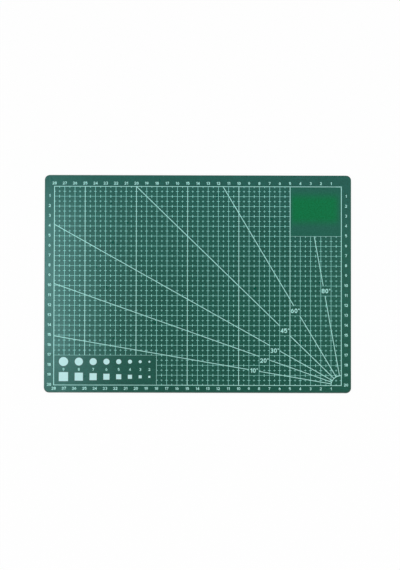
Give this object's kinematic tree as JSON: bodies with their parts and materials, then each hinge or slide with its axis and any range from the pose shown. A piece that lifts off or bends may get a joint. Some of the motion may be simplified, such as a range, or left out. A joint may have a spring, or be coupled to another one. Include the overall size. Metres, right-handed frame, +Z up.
{
  "type": "self healing cutting mat",
  "caption": "Flat laminated cutting mat with rounded corners, printed with a centimetre grid, angle lines, a bare label panel and a row of size gauges.",
  "frame": {"origin": "under the middle of the mat, on the surface it lies on", "axes": "+X along the long side, +Y across it towards the edge beside the label panel, +Z up out of the printed face"},
  "size_m": [0.299, 0.2186, 0.0031],
  "materials": {
    "skin": "satin, finely pebbled soft PVC",
    "stiffener": "smooth hard film",
    "core": "matt filled PVC",
    "ink": "matt screen print",
    "label_ink": "matt screen print"
  },
  "bodies": {
    "root": {"bottom_skin": "skin", "lower_stiffener": "stiffener", "core": "core", "upper_stiffener": "stiffener", "top_skin": "skin", "grid_frame_print": "ink", "label_panel": "label_ink", "gauge_disc_1": "ink", "gauge_disc_2": "ink", "gauge_disc_3": "ink", "gauge_disc_4": "ink", "gauge_disc_5": "ink", "gauge_disc_6": "ink", "gauge_disc_7": "ink", "gauge_disc_8": "ink", "gauge_square_1": "ink", "gauge_square_2": "ink", "gauge_square_3": "ink", "gauge_square_4": "ink", "gauge_square_5": "ink", "gauge_square_6": "ink", "gauge_square_7": "ink", "gauge_square_8": "ink"}
  },
  "joints": []
}
